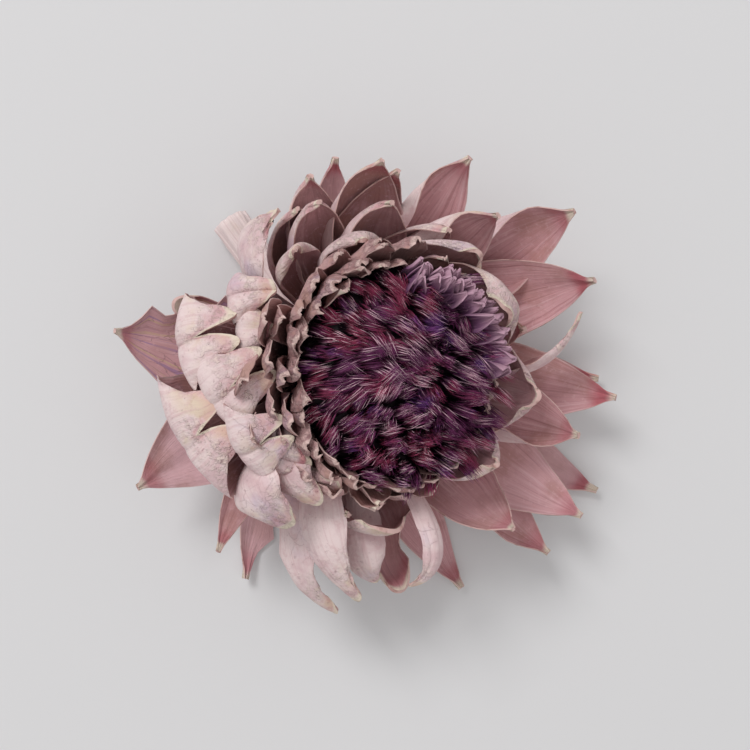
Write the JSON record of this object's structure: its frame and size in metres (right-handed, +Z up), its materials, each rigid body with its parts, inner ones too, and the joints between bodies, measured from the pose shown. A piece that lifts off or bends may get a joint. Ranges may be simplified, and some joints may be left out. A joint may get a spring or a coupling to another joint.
{
  "type": "dried artichoke bloom",
  "caption": "Dried globe artichoke cut in flower, with spreading and hooked bracts round a violet choke, lying on its bent stem and lowest bracts.",
  "frame": {"origin": "on the surface that it lies on, under the middle of its bounding box", "axes": "+Z up, +X the way that the head leans and its longest extent, +Y the way that its lower bracts point on the stem side"},
  "size_m": [0.1403, 0.1278, 0.0701],
  "materials": {
    "bract": "matte, dusty",
    "floret": "fine fibres with a dull sheen"
  },
  "bodies": {
    "root": {"bracts_and_stem": "bract", "choke": "floret"}
  },
  "joints": []
}
